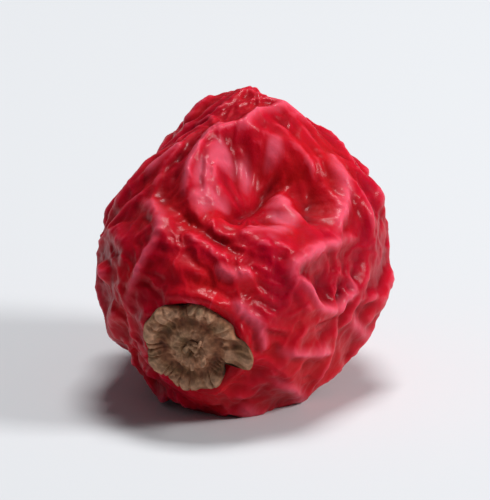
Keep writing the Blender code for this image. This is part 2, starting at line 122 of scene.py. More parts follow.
# The folds all together rise no higher than this.  In front, where the skin faces that way by more
# than the second of two cosines, the plain folds are lower by that share.
TALLEST_FOLD = 0.42 * MM
CALM_IN_FRONT = 0.6
FACING_FRONT = (0.15, 0.65)

# The large crater in front, a small dent in the flank and the underside.  The first two are places
# in mm to the right of the middle of the body and above it, as it shows from the front.  The last is
# two angles in degrees, from the tip and round the berry from its top.  Calm is how much of the
# folds is smoothed away there.
CRATER_AT = (0.44, 1.8)
CRATER_RADIUS = 2.02 * MM
CRATER_DEPTH = 1.25 * MM
CRATER_STRAY = (40, 3.0 * MM, 0.17 * MM)
CRATER_FLATNESS = 2.4
CRATER_LIP_SOFTNESS = 1.3
CRATER_CALM = 0.92
CRATER_CALM_REACH = 0.78
CRATER_RING_OF_FOLDS = 1.2
CRATER_PANEL = 1.1
FLANK_DENT_AT = (2.1, -0.6)
FLANK_DENT_RADIUS = 0.55 * MM
FLANK_DENT_DEPTH = 0.16 * MM
FLANK_DENT_CALM = 0.8
FLANK_DENT_CALM_REACH = 1.2
FLANK_DENT_RING_OF_FOLDS = 1.6
FLANK_DENT_PANEL = 1.5
UNDERSIDE_AT = (96, 180)
UNDERSIDE_REACH = 1.7 * MM
UNDERSIDE_FILL = 0.16 * MM
UNDERSIDE_CALM = 0.75

# Where the body is fuller or leaner than a plain round one: height, reach and place, all in mm.
LUMPS = (
    (0.34, 1.5, (3.1, 0.9)),
    (-0.34, 1.4, (-2.3, 2.4)),
    (-0.5, 1.2, (1.5, 3.6)),
    (0.15, 0.8, (-0.4, 3.8)),
    (-0.25, 1.3, (-2.6, -2.3)),
)

# The strongest folds: height, width and the places that each one runs through, all in mm.  A
# negative height is a crease.
STRONG_FOLD_STRAY = (60, 1.6 * MM, 0.05 * MM)
STRONG_FOLD_BELL = 1.5
STRONG_FOLD_TOP = 0.03 * MM
STRONG_FOLD_END = 0.25
ROUTE_STEPS = 14
ROUTE_SPACING = 0.05 * MM
STRONG_FOLDS = (
    (0.34, 0.22, ((-1.1, 1.3), (-1.2, 1.8), (-1.0, 2.3), (-0.6, 2.8), (0.2, 3.1))),
    (0.36, 0.2, ((-0.1, 2.85), (0.4, 3.15), (0.95, 3.35), (1.5, 3.2), (2.0, 2.85))),
    (0.3, 0.18, ((2.1, 2.6), (2.4, 2.05), (2.55, 1.4), (2.5, 0.8), (2.15, 0.4))),
    (0.32, 0.15, ((3.0, 0.45), (2.4, 0.35), (1.8, 0.1), (1.25, -0.4), (1.5, -0.75))),
    (0.32, 0.15, (
        (1.0, -0.2), (1.3, -0.5), (1.7, -0.85), (2.1, -1.25), (2.6, -1.05), (2.75, -0.6), (2.6, -0.1))),
    (0.2, 0.18, ((2.7, -1.3), (2.75, -2.0))),
    (0.24, 0.2, ((0.9, -2.1), (1.5, -2.25), (2.2, -2.1))),
    (0.26, 0.22, ((0.7, -2.7), (1.5, -3.1), (2.2, -2.95), (2.7, -2.4))),
    (0.2, 0.2, ((0.0, -3.3), (0.6, -3.6))),
    (0.24, 0.22, ((-0.4, -1.0), (0.2, -1.3), (0.6, -1.8), (0.55, -2.4))),
    (0.18, 0.2, ((-0.6, -0.3), (-0.1, -0.5), (0.4, -0.3))),
    (0.3, 0.2, ((-2.2, 1.5), (-1.85, 0.7), (-2.15, -0.1), (-2.5, -0.8), (-2.7, -1.4))),
    (0.24, 0.22, ((-2.75, 1.9), (-3.0, 1.3), (-3.2, 0.5))),
    (0.24, 0.2, ((-1.3, 2.6), (-1.8, 2.1), (-2.2, 1.7))),
    (0.4, 0.34, ((1.05, 2.2), (1.3, 1.6), (1.5, 1.05), (1.1, 0.7), (0.5, 0.75), (0.0, 0.4))),
    (-0.36, 0.3, ((-0.7, 1.1), (0.1, 1.6), (0.65, 2.0), (1.0, 2.6))),
    (-0.22, 0.3, ((1.9, 2.4), (2.05, 1.5), (1.8, 0.7))),
    (-0.24, 0.22, ((-1.5, 1.2), (-0.95, 0.8), (-0.4, 0.4), (0.2, 0.0))),
)

# The fine wrinkles: small folds along the large ones, so many to each and in patches, then two nets
# of thin lines, each with its height, stray, spacing and seed, and a soft unevenness.
FINE_FOLDS = 3.0
FINE_FOLD_HEIGHT = 0.045 * MM
FINE_FOLD_PATCHES = (0.8 * MM, 1)
LINE_NETS = (
    (0.045 * MM, (33, 0.9 * MM, 0.11 * MM), 0.5 * MM, 3),
    (0.018 * MM, (36, 0.5 * MM, 0.07 * MM), 0.24 * MM, 4),
)
LINE_THINNESS = 2.6
LINE_FLOOR = 0.25
ROUGH_HEIGHT = 0.03 * MM
ROUGH_PATCHES = (0.5 * MM, 2)
FINE_CALM_IN_CRATER = 0.75

# Thin wrinkles from the middle of the crater to its lip: so many in a round, each wandering by so
# many radians.
CRATER_WRINKLES = 13.0
CRATER_WRINKLE_HEIGHT = 0.03 * MM
CRATER_WRINKLE_FROM = (0.15, 0.6)
CRATER_WRINKLE_WANDER = 5.0
CRATER_WANDER_PATCHES = (1.1 * MM, 12)
CRATER_ROUGHNESS = 0.6
CRATER_ROUGH_PATCHES = (0.35 * MM, 13)

ALONG = np.array((0.0, 1.0, 0.0))
TINY = 1e-9


def smooth_step(low, high, value):
    share = np.clip((value - low) / (high - low), 0.0, 1.0)
    return share * share * (3.0 - 2.0 * share)


def bell(distance, reach, power=2):
    """1 in the middle, falling to about a third at the reach."""
    return np.exp(-((distance / reach) ** power))


def body_radius(along):
    """Radius of the smooth body at a distance along its axis.  The tip is at minus half its length."""
    reach = min(abs(2.0 * along / BODY_LENGTH), 1.0)
    fullness = 1.0 + STALK_END_FULLNESS * 2.0 * along / BODY_LENGTH
    return 0.5 * BODY_DIAMETER * fullness * (1.0 - reach**ROUNDNESS) ** (1.0 / ROUNDNESS)


def keel(height):
    """How much narrower the body is at a height over its axis: its back is drawn together."""
    return 1.0 - KEEL * np.clip(height / (0.5 * BODY_DIAMETER), 0.0, KEEL_TOP) ** KEEL_POWER


def search(low, high, is_low, halvings=40):
    """The value at which a condition stops holding."""
    for _ in range(halvings):
        middle = 0.5 * (low + high)
        low, high = (middle, high) if is_low(middle) else (low, middle)
    return low


def body_point(from_tip, around):
    """Point of the smooth body in the direction of two angles in degrees."""
    along = -math.cos(math.radians(from_tip))
    across = math.sin(math.radians(from_tip))
    reach = search(0.0, BODY_LENGTH, lambda far: far * across < body_radius(far * along))
    turn = math.radians(around)
    return reach * np.array((across * math.sin(turn), along, across * math.cos(turn)))


def along_at_radius(radius, end):
    """Distance along the axis at which the body has that radius.  The end is -1 at the tip."""
    return end * search(0.0, 0.5 * BODY_LENGTH, lambda far: body_radius(end * far) > radius)


LYING = Matrix.Rotation(TIP_DIP, 3, "X")
TO_VIEWER = Vector((
    math.sin(VIEW_AZIMUTH) * math.cos(VIEW_ELEVATION),
    -math.cos(VIEW_AZIMUTH) * math.cos(VIEW_ELEVATION),
    math.sin(VIEW_ELEVATION),
))
VIEW_RIGHT = Vector((math.cos(VIEW_AZIMUTH), math.sin(VIEW_AZIMUTH), 0.0))
VIEW_UP = TO_VIEWER.cross(VIEW_RIGHT)


def seen_place(right, up):
    """The place on the plain body that shows at so many mm right of its middle and above it.

    Past its outline, that is where the view passes nearest to it.
    """
    start = LYING.transposed() @ ((VIEW_RIGHT * right + VIEW_UP * up) * MM)
    way = LYING.transposed() @ TO_VIEWER

    def place(far):
        spot = start + way * far
        return np.array((spot.x / keel(spot.z), spot.y, spot.z))

    def depth(far):
        spot = place(far)
        return body_radius(spot[1]) - math.hypot(spot[0], spot[2])

    looks = np.linspace(-0.5 * BODY_LENGTH, 0.5 * BODY_LENGTH, VIEW_LOOKS)
    deepest = max(looks, key=depth)
    return place(search(deepest, deepest + BODY_LENGTH, lambda far: depth(far) > 0.0))


def unit(vectors):
    return vectors / (np.linalg.norm(vectors, axis=-1, keepdims=True) + TINY)


def distances(points, others):
    """From each point to each of the others."""
    squares = np.sum(points**2, axis=1)[:, None] + np.sum(others**2, axis=1) - 2.0 * points @ others.T
    return np.sqrt(np.maximum(squares, 0.0))


def body_normals(points, step=0.01 * MM):
    """Outward directions of the smooth body, from the slope of its profile."""
    limit = 0.5 * BODY_LENGTH - 2.0 * step
    places = np.clip(points[:, 1], -limit, limit)
    rise = np.array([body_radius(place + step) - body_radius(place - step) for place in places])
    sideways = unit(points * (1.0, 0.0, 1.0))
    return unit(sideways - ALONG * (rise / (2.0 * step))[:, None])


def spread_places(count, unrest, dice):
    """Places spread evenly over the berry on a golden spiral, each moved about a little."""
    golden_turn = math.pi * (3.0 - math.sqrt(5.0))
    places = []
    for index in range(count):
        height = 1.0 - 2.0 * (index + 0.5) / count
        from_tip = math.degrees(math.acos(-height)) + dice.gauss(0.0, unrest / math.sqrt(count))
        around = math.degrees(index * golden_turn) + dice.gauss(0.0, unrest)
        places.append(body_point(min(max(from_tip, 2.0), 178.0), around))
    return np.array(places)


def unevenness(points, seed, spacing, waves=8):
    """A smooth unevenness of about -1 to 1 with that spacing: sine waves in random directions."""
    dice = random.Random(seed)
    total = np.zeros(len(points))
    for _ in range(waves):
        way = Vector((dice.gauss(0.0, 1.0), dice.gauss(0.0, 1.0), dice.gauss(0.0, 1.0))).normalized()
        pace = 2.0 * math.pi / (spacing * dice.uniform(0.7, 1.4))
        total += np.sin(points @ np.array(way * pace) + dice.uniform(0.0, 2.0 * math.pi))
    return total * math.sqrt(2.0 / waves)


def strayed(points, seed, spacing, reach):
    """Points moved about by up to roughly the reach, so that no line drawn from them is straight."""
    return points + reach * np.stack([unevenness(points, seed + axis, spacing) for axis in range(3)], 1)


lying = np.array(LYING)
CRATER = seen_place(*CRATER_AT)
FLANK_DENT = seen_place(*FLANK_DENT_AT)
UNDERSIDE = body_point(*UNDERSIDE_AT)


class Folds:
    """Short trains of waves over the skin that run lengthwise, wander, and ring the two hollows."""

    def __init__(self, seed):
        dice = random.Random(seed)
        self.centres = spread_places(FOLD_TRAINS, FOLD_UNREST, dice)
        normals = body_normals(self.centres)
        lengthwise = unit(ALONG - normals * normals[:, 1:2])
        crosswise = np.cross(normals, lengthwise)
        from_ends = 0.5 * BODY_LENGTH - np.abs(self.centres[:, 1])
        angle = FOLD_WANDER * unevenness(self.centres, seed + 1, WANDER_SPACING)
        angle *= smooth_step(0.0, PUCKER_REACH, from_ends)
        run = lengthwise * np.cos(angle)[:, None] + crosswise * np.sin(angle)[:, None]
        rings = (
            (CRATER, CRATER_RING_OF_FOLDS * CRATER_RADIUS),
            (FLANK_DENT, FLANK_DENT_RING_OF_FOLDS * FLANK_DENT_RADIUS),
        )
        for middle, radius in rings:
            away = self.centres - middle
            ring = np.cross(normals, unit(away))
            ring *= np.where(np.sum(ring * run, axis=1) < 0.0, -1.0, 1.0)[:, None]
            share = bell(np.linalg.norm(away, axis=1) - radius, radius)[:, None]
            run = unit(run * (1.0 - share) + ring * share)
        spacing = FOLD_SPACING * np.array([dice.uniform(*FOLD_UNEVENNESS) for _ in normals])
        self.paces = np.cross(normals, run) * (2.0 * math.pi / spacing)[:, None]
        self.starts = np.zeros(FOLD_TRAINS)
        self.fall_in_step(dice)

    def fall_in_step(self, dice):
        """Each train in turn takes the phase of the waves that are already round it."""
        order = list(range(FOLD_TRAINS))
        dice.shuffle(order)
        for rank, train in enumerate(order[1:], 1):
            others = order[:rank]
            away = self.centres[train] - self.centres[others]
            weight = bell(np.linalg.norm(away, axis=1), math.sqrt(2.0) * FOLD_REACH)
            way = np.where(self.paces[others] @ self.paces[train] < 0.0, -1.0, 1.0)
            phase = way * (np.sum(self.paces[others] * away, axis=1) + self.starts[others])
            self.starts[train] = np.angle(np.sum(weight * np.exp(1j * phase)))

    def phase(self, points):
        """Where a point lies in its wave, in radians from the ridge, and how well the trains agree."""
        phases, agreements = [], []
        starts = self.starts - np.sum(self.centres * self.paces, axis=1)
        for batch in np.array_split(points, max(1, len(points) // POINTS_AT_ONCE)):
            weight = bell(distances(batch, self.centres), math.sqrt(2.0) * FOLD_REACH)
            nearest = self.paces[np.argmax(weight, axis=1)]
            way = np.where(nearest @ self.paces.T < 0.0, -1.0, 1.0)
            phase = way * (batch @ self.paces.T + starts)
            total = np.sum(weight * np.exp(1j * phase), axis=1)
            phases.append(np.angle(total))
            agreements.append(np.abs(total) / np.sum(weight, axis=1))
        return np.concatenate(phases), np.concatenate(agreements)


def net_of_ridges(points, seed):
    """1 on the edges between panels of skin and falling off to both sides.  Each hollow is a panel."""
    middles = spread_places(NET_PANELS, NET_UNREST, random.Random(seed))
    hollows = (
        (CRATER, CRATER_PANEL * CRATER_RADIUS),
        (FLANK_DENT, FLANK_DENT_PANEL * FLANK_DENT_RADIUS),
    )
    for middle, radius in hollows:
        middles = middles[np.linalg.norm(middles - middle, axis=1) > radius]
    middles = np.concatenate((middles, [middle for middle, _ in hollows]))
    distance = np.linalg.norm(points[:, None, :] - middles[None], axis=2)
    order = np.argsort(distance, axis=1)
    nearest, second = order[:, 0], order[:, 1]
    rows = np.arange(len(points))
    apart = np.linalg.norm(middles[nearest] - middles[second], axis=1)
    to_edge = (distance[rows, second] ** 2 - distance[rows, nearest] ** 2) / (2.0 * apart)
    return 1.0 / (1.0 + (to_edge / NET_WIDTH) ** 2)


def route_between(places):
    """Evenly spaced places on the skin along a smooth curve through a few seen from the front."""
    flat = [Vector(place) for place in places]
    flat = [2.0 * flat[0] - flat[1], *flat, 2.0 * flat[-1] - flat[-2]]
    route = []
    for before, first, last, after in zip(flat, flat[1:], flat[2:], flat[3:]):
        for step in range(ROUTE_STEPS + (last is flat[-2])):
            share = step / ROUTE_STEPS
            near = first + 0.5 * share * (last - before)
            far = last - 0.5 * (1.0 - share) * (after - first)
            blend = share * share * (3.0 - 2.0 * share)
            route.append(seen_place(*near.lerp(far, blend)))
    route = np.array(route)
    walk = np.concatenate(([0.0], np.cumsum(np.linalg.norm(np.diff(route, axis=0), axis=1))))
    evenly = np.linspace(0.0, walk[-1], 2 + int(walk[-1] / ROUTE_SPACING))
    return np.stack([np.interp(evenly, walk, column) for column in route.T], 1)


def strong_fold(points, height, width, places):
    """The lift of one fold or crease at each point, which runs out at its two ends."""
    route = route_between(places)
    share = np.linspace(0.0, 1.0, len(route))
    fade = smooth_step(0.0, STRONG_FOLD_END, share) * smooth_step(0.0, STRONG_FOLD_END, 1.0 - share)
    lift = np.empty(len(points))
    for rows in np.array_split(np.arange(len(points)), max(1, len(points) // POINTS_AT_ONCE)):
        distance = distances(points[rows], route)
        nearest = np.argmin(distance, axis=1)
        across = np.hypot(distance.min(axis=1), STRONG_FOLD_TOP)
        lift[rows] = fade[nearest] * bell(across, width, STRONG_FOLD_BELL)
    return height * lift


def grain(points, spacing, seed):
    """Smooth noise of about -1 to 1 with that spacing."""
    shift = Vector((seed * 7.3, seed * 3.1, seed * 5.7))
    return np.array([noise.noise(Vector(place) / spacing + shift) for place in points])


def thin_lines(points, stray, spacing, seed):
    """A net of thin raised lines."""
    level = np.abs(grain(strayed(points, *stray), spacing, seed))
    return np.clip(1.0 - level * LINE_THINNESS, 0.0, 1.0) ** 2 - LINE_FLOOR


def relief(points, facing):
    """How far each point of the smooth body is lifted, from how much its skin faces the front."""
    from_crater = np.linalg.norm(strayed(points, *CRATER_STRAY) - CRATER, axis=1)
    from_dent = np.linalg.norm(points - FLANK_DENT, axis=1)
    in_crater = bell(from_crater, CRATER_CALM_REACH * CRATER_RADIUS, 6)
    on_underside = bell(np.linalg.norm(points - UNDERSIDE, axis=1), UNDERSIDE_REACH, 4)
    in_front = smooth_step(*FACING_FRONT, facing)

    phase, agreement = Folds(FOLD_SEED).phase(strayed(points, *FOLD_STRAY))
    ridge = 0.5 + 0.5 * np.cos(phase)
    weakest, usual, strongest = FOLD_VIGOUR
    vigour = usual + FOLD_VIGOUR_SPREAD * unevenness(points, *FOLD_VIGOUR_WAVES)
    vigour = np.clip(vigour, weakest, strongest)
    agreed = smooth_step(0.0, FOLD_AGREEMENT, agreement)
    folds = FOLD_HEIGHT * ridge**FOLD_SHARPNESS * vigour * agreed
    net = NET_HEIGHT * net_of_ridges(strayed(points, *NET_STRAY), NET_SEED)
    height = np.hypot(folds, net) * (1.0 - CALM_IN_FRONT * in_front)
    height *= 1.0 - FLANK_DENT_CALM * bell(from_dent, FLANK_DENT_CALM_REACH * FLANK_DENT_RADIUS, 4)
    height *= 1.0 - CRATER_CALM * in_crater
    near = strayed(points, *STRONG_FOLD_STRAY)
    for strength, width, places in STRONG_FOLDS:
        height += strong_fold(near, strength * MM, width * MM, places)
    height = TALLEST_FOLD * np.tanh(height / TALLEST_FOLD)

    height += SWELL_HEIGHT * unevenness(points, SWELL_SEED, SWELL_SPACING, SWELL_WAVES)
    for lump, reach, place in LUMPS:
        height += lump * MM * bell(np.linalg.norm(points - seen_place(*place), axis=1), reach * MM)
    hollow = 1.0 - np.minimum(from_crater / CRATER_RADIUS, 1.0) ** CRATER_FLATNESS
    height -= CRATER_DEPTH * hollow**CRATER_LIP_SOFTNESS
    height -= FLANK_DENT_DEPTH * (1.0 - smooth_step(0.0, FLANK_DENT_RADIUS, from_dent))

    fine = FINE_FOLD_HEIGHT * np.cos(FINE_FOLDS * phase) * grain(points, *FINE_FOLD_PATCHES) * agreed
    for rise, stray, spacing, seed in LINE_NETS:
        fine += rise * thin_lines(points, stray, spacing, seed)
    fine += ROUGH_HEIGHT * grain(points, *ROUGH_PATCHES)
    height += fine * (1.0 - FINE_CALM_IN_CRATER * in_crater)
    away = points - CRATER
    right, up = (away @ (lying.T @ np.array(way)) for way in (VIEW_RIGHT, VIEW_UP))
    turn = CRATER_WRINKLES * np.arctan2(right, up)
    wrinkles = np.cos(turn + CRATER_WRINKLE_WANDER * grain(points, *CRATER_WANDER_PATCHES))
    wrinkles += CRATER_ROUGHNESS * grain(points, *CRATER_ROUGH_PATCHES)
    wrinkles *= smooth_step(*CRATER_WRINKLE_FROM, from_crater / CRATER_RADIUS) * in_crater
    height += CRATER_WRINKLE_HEIGHT * wrinkles
    return height * (1.0 - UNDERSIDE_CALM * on_underside) + UNDERSIDE_FILL * on_underside


def neighbour_mean(mesh, values, rounds):
    """Values averaged with those of the neighbouring vertices, a number of times."""
    edges = np.empty(len(mesh.edges) * 2, np.int64)
    mesh.edges.foreach_get("vertices", edges)
    first, second = edges.reshape(-1, 2).T
    count = np.bincount(edges, minlength=len(values))
    for _ in range(rounds):
        total = np.bincount(first, weights=values[second], minlength=len(values))
        total += np.bincount(second, weights=values[first], minlength=len(values))
        values = 0.5 * values + 0.5 * total / count
    return values


def coordinates(mesh):
    flat = np.empty(3 * len(mesh.vertices))
    mesh.vertices.foreach_get("co", flat)
    return flat.reshape(-1, 3)


def apply_finer(item, levels, kind="CATMULL_CLARK"):
    """Divides a piece more finely, each level halving its edges, and smooths it if the kind does."""
    finer = item.modifiers.new("finer", "SUBSURF")
    finer.subdivision_type = kind
    finer.levels = finer.render_levels = levels
    bpy.ops.object.modifier_apply(modifier=finer.name)


TIP_RIM = along_at_radius(SEAT_RADIUS, -1.0)
STALK_RIM = along_at_radius(SOCKET_RADIUS, 1.0)

bpy.ops.object.select_all(action="DESELECT")
bpy.ops.mesh.primitive_uv_sphere_add(segments=SKIN_SEGMENTS, ring_count=SKIN_RINGS, radius=1.0)
berry = bpy.context.object
berry.name = "dried_berry"
apply_finer(berry, SKIN_HALVINGS, "SIMPLE")

# The ball becomes the smooth body: each point takes its place on the profile, which runs from the
# middle of the seat's floor over the skin to the middle of the socket's floor.
ball = unit(coordinates(berry.data))
from_pole = np.arccos(np.clip(ball[:, 2], -1.0, 1.0)) / math.pi
turn = np.arctan2(ball[:, 0], ball[:, 1])
profile = [(0.0, SEAT_FLOOR), (SEAT_SLOPE * SEAT_RADIUS, SEAT_FLOOR)]
profile += [(body_radius(along), along) for along in np.linspace(TIP_RIM, STALK_RIM, PROFILE_STEPS)]
profile += [(SOCKET_RADIUS, SOCKET_FLOOR), (0.0, SOCKET_FLOOR)]
profile = np.array(profile)
steps = np.linalg.norm(np.diff(profile, axis=0), axis=1)
steps[:2] *= SEAT_RINGS
steps[-2:] *= SOCKET_RINGS
walk = np.concatenate(([0.0], np.cumsum(steps)))
radii = np.interp(from_pole * walk[-1], walk, profile[:, 0])
along = np.interp(from_pole * walk[-1], walk, profile[:, 1])
points = np.stack((radii * np.sin(turn), along, radii * np.cos(turn)), 1)
normals = body_normals(points)

# The skin is lifted by its relief, except inside the seat and the socket, and then laid down.
at_tip = along < 0.0
opening = np.where(at_tip, SEAT_RADIUS, SOCKET_RADIUS)
past_rim = np.where(at_tip, along - TIP_RIM, STALK_RIM - along)
fade = RIM_SHARE + (1.0 - RIM_SHARE) * smooth_step(0.0, RIM_BLEND, radii - opening)
fade[(radii < opening + SAME_PLACE) & (past_rim > SAME_PLACE)] = 0.0
height = relief(points, normals @ lying.T @ np.array(TO_VIEWER))
height = neighbour_mean(berry.data, height, 1)
all_round, high_side, uneven = COLLAR_SHARES
collar = all_round + high_side * np.cos(turn - COLLAR_TURN) + uneven * unevenness(points, *COLLAR_WAVES)
collar *= bell(radii - SEAT_RADIUS - COLLAR_OUT, COLLAR_WIDTH) * at_tip
moved = points + normals * (height * fade + COLLAR_HEIGHT * collar * (fade > 0.0))[:, None]
moved[:, 1] -= np.where(at_tip, 0.0, DIMPLE_DEPTH * bell(radii, DIMPLE_REACH))
moved[:, 0] *= keel(moved[:, 2])
moved = moved @ lying.T
moved[:, 2] = np.maximum(moved[:, 2], -BODY_CENTRE.z)
moved += np.array(BODY_CENTRE)
berry.data.vertices.foreach_set("co", moved.ravel())
berry.data.update()
bpy.ops.object.mode_set(mode="EDIT")
bpy.ops.mesh.select_all(action="SELECT")
bpy.ops.mesh.normals_make_consistent(inside=False)
bpy.ops.object.mode_set(mode="OBJECT")
bpy.ops.object.shade_smooth()

# What the skin's colour reads at each point: how high it lies among its wide surroundings, how sharp
# an edge it is among its near ones, and where a pale pink painted highlight goes, in patches of the
# crater, each a place in mm and a reach, and along the tops of the strong folds.
CREST_ROUNDS = 60
CREST_SPAN = 0.29 * MM
EDGE_ROUNDS = 8
EDGE_SPAN = 0.03 * MM
FOLD_HIGHLIGHT_SHARE = 0.95
FOLD_HIGHLIGHT_WIDTH = 0.13 * MM
HIGHLIGHT_PATCH_STRAY = (70, 0.9 * MM, 0.1 * MM)
HIGHLIGHT_PATCHES = (
    ((-0.75, 1.6), 0.42), ((-0.72, 2.1), 0.42), ((-0.4, 2.5), 0.42),
    ((0.2, 2.55), 0.4), ((0.9, 2.75), 0.3), ((1.2, 1.75), 0.3),
    ((1.35, 1.2), 0.34), ((1.05, 0.8), 0.3), ((0.5, 0.8), 0.22),
)


def set_attribute(mesh, name, values):
    attribute = mesh.attributes.new(name, "FLOAT", "POINT")
    attribute.data.foreach_set("value", np.clip(values, 0.0, 1.0).astype(np.float32))


def above_surroundings(rounds, span):
    return 0.5 + (height - neighbour_mean(berry.data, height, rounds)) / span


set_attribute(berry.data, "crest", above_surroundings(CREST_ROUNDS, CREST_SPAN))
set_attribute(berry.data, "edge", above_surroundings(EDGE_ROUNDS, EDGE_SPAN))
# Painted highlight: pale pink patches in the crater and along the tops of the strong folds.
painted_highlight = []
near = strayed(points, *HIGHLIGHT_PATCH_STRAY)
for place, reach in HIGHLIGHT_PATCHES:
    painted_highlight.append(bell(np.linalg.norm(near - seen_place(*place), axis=1), reach * MM, 3))
near = strayed(points, *STRONG_FOLD_STRAY)
for strength, _, places in STRONG_FOLDS:
    if strength > 0.0:
        painted_highlight.append(FOLD_HIGHLIGHT_SHARE * strong_fold(near, 1.0, FOLD_HIGHLIGHT_WIDTH, places))
set_attribute(berry.data, "painted_highlight", np.max(painted_highlight, axis=0))


def linear(code):
    """An sRGB hex colour as linear red, green, blue and alpha."""
    parts = [int(code[at : at + 2], 16) / 255 for at in (0, 2, 4)]
    return (*(part / 12.92 if part <= 0.04045 else ((part + 0.055) / 1.055) ** 2.4 for part in parts), 1.0)


def add_node(material, kind, links=None, stops=None, **settings):
    """A node with its settings, its inputs set or linked, and a ramp's stops as place and colour."""
    tree = material.node_tree
    node = tree.nodes.new(kind)
    for name, value in settings.items():
        setattr(node, name, value)
    for socket, value in (links or {}).items():
        if isinstance(value, bpy.types.NodeSocket):
            tree.links.new(value, node.inputs[socket])
        else:
            node.inputs[socket].default_value = value
    for index, (place, colour) in enumerate(stops or ()):
        points = node.color_ramp.elements
        point = points[index] if index < 2 else points.new(place)
        point.position = place
        point.color = linear(colour)
    return node


# Dried berry skin: a waxy fruit skin, dried in the air.  Its colour is darker in the creases, which is
# painted shade, and pinker on the crests and sharp edges, partly as skin drawn thin over a fold and
# partly as painted highlight; the pale pink in patches of the crater and along the strong folds is
# painted highlight.  It is satin to the eye, with an uneven sheen that is weak and reddish.  Wax bends
# light by about 1.5, the shader's own value.  The skin's cells are about 0.04 mm across, and its grain
# is drawn three times as coarse as they are, so that it shows.

SKIN_GRAIN = 0.12 * MM
SKIN_GRAIN_RISE = 0.016 * MM
SHEEN_PATCH = 0.35 * MM
THIN_WRINKLE = 0.42 * MM
THIN_WRINKLE_RISE = 0.03 * MM
REDDER_PATCH = 2.2 * MM

skin = bpy.data.materials.new("dried_berry_skin")
skin.use_nodes = True
shader = skin.node_tree.nodes["Principled BSDF"]
place = add_node(skin, "ShaderNodeTexCoord").outputs["Object"]
crest = add_node(skin, "ShaderNodeAttribute", attribute_name="crest").outputs["Fac"]
edge = add_node(skin, "ShaderNodeAttribute", attribute_name="edge").outputs["Fac"]
# Darker in the creases as painted shade, pinker on the crests partly as thin skin and partly as painted
# highlight.
base = add_node(skin, "ShaderNodeValToRGB", {0: crest}, stops=(
    (0.0, "3C000C"), (1.0, "DA2C4C"), (0.33, "8C0016"), (0.66, "BA0626"))).outputs[0]
patches = add_node(skin, "ShaderNodeTexNoise", {
    "Vector": place, "Scale": 1 / REDDER_PATCH, "Detail": 3.0, "Roughness": 0.55}).outputs["Fac"]
patch_share = add_node(skin, "ShaderNodeMapRange", {
    "Value": patches, "From Min": 0.35, "From Max": 0.7, "To Max": 0.35}).outputs[0]
tinted = add_node(skin, "ShaderNodeMix", {
    "Factor": patch_share, 6: base, 7: linear("DC2008")}, data_type="RGBA").outputs[2]
# Sharp crests are tinted pink, partly as skin drawn thin and partly as painted highlight.
thin_skin_and_highlight = add_node(skin, "ShaderNodeMath", {0: crest, 1: edge}, operation="MULTIPLY").outputs[0]
edge_share = add_node(skin, "ShaderNodeMapRange", {
    "Value": thin_skin_and_highlight, "From Min": 0.5, "From Max": 1.0, "To Max": 0.25}).outputs[0]
edged = add_node(skin, "ShaderNodeMix", {
    "Factor": edge_share, 6: tinted, 7: linear("FA7890")}, data_type="RGBA").outputs[2]
# The pale pink here is a painted highlight.
painted_highlight = add_node(skin, "ShaderNodeAttribute", attribute_name="painted_highlight").outputs["Fac"]
painted_highlight_share = add_node(skin, "ShaderNodeMapRange", {
    "Value": painted_highlight, "From Min": 0.1, "From Max": 0.9, "To Max": 0.52}).outputs[0]
colour = add_node(skin, "ShaderNodeMix", {
    "Factor": painted_highlight_share, 6: edged, 7: linear("EC6880")}, data_type="RGBA").outputs[2]
skin.node_tree.links.new(colour, shader.inputs["Base Color"])
fine_grain = add_node(skin, "ShaderNodeTexNoise", {
    "Vector": place, "Scale": 1 / SKIN_GRAIN, "Detail": 4.0, "Roughness": 0.6}).outputs["Fac"]
sheen = add_node(skin, "ShaderNodeTexNoise", {
    "Vector": place, "Scale": 1 / SHEEN_PATCH, "Detail": 3.0, "Roughness": 0.55}).outputs["Fac"]
both = add_node(skin, "ShaderNodeMath", {0: fine_grain, 1: sheen}, operation="ADD").outputs[0]
fine_wrinkles = add_node(skin, "ShaderNodeTexNoise", {
    "Vector": place, "Scale": 1 / THIN_WRINKLE, "Detail": 3.0, "Roughness": 0.5, "Distortion": 0.5},
    noise_type="RIDGED_MULTIFRACTAL").outputs["Fac"]
wrinkled = add_node(skin, "ShaderNodeBump", {
    "Height": fine_wrinkles, "Strength": 0.5, "Distance": THIN_WRINKLE_RISE}).outputs["Normal"]
bump = add_node(skin, "ShaderNodeBump", {
    "Height": both, "Strength": 0.7, "Distance": SKIN_GRAIN_RISE, "Normal": wrinkled}).outputs["Normal"]
skin.node_tree.links.new(bump, shader.inputs["Normal"])
rough = add_node(skin, "ShaderNodeMapRange", {
    "Value": sheen, "From Min": 0.3, "From Max": 0.7, "To Min": 0.34, "To Max": 0.5}).outputs[0]
skin.node_tree.links.new(rough, shader.inputs["Roughness"])
shader.inputs["Subsurface Weight"].default_value = 0.25
shader.inputs["Subsurface Radius"].default_value = (1.0, 0.1, 0.08)
shader.inputs["Subsurface Scale"].default_value = 0.3 * MM
shader.inputs["Specular IOR Level"].default_value = 0.1
shader.inputs["Specular Tint"].default_value = linear("FF90A4")
shader.inputs["Coat Weight"].default_value = 0.09
shader.inputs["Coat Roughness"].default_value = 0.14
berry.data.materials.append(skin)
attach(berry, "root")
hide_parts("berry")

# The disc: what is left of the flower in the tip of the fruit, a thin button of dry cork with a
# raised worn rim, a sunken ring and a pitted middle with a tuft of withered threads.  It grew
# there, and the skin shrank tight round it.  On the right a flake of its rim has split and sticks out.

DISC_RADIUS = 1.16 * MM
DISC_BACK = 4.063 * MM
DISC_SIDES = 96
DISC_SIDE_RISES = (0.23 * MM, 0.2 * MM)
DISC_FOOT = 0.94
DISC_STEPS = (
    (0.08, 0.1), (0.1, 0.03), (0.11, -0.05), (0.11, -0.13), (0.11, -0.03), (0.11, 0.09),
    (0.11, 0.06), (0.13, 0.0), (0.11, -0.09),
)
DISC_PIT = -0.02 * MM
SMOOTHING = 2
DISC_FACE = (0.25 * MM, 0.42 * MM)
DISC_SEED = 5

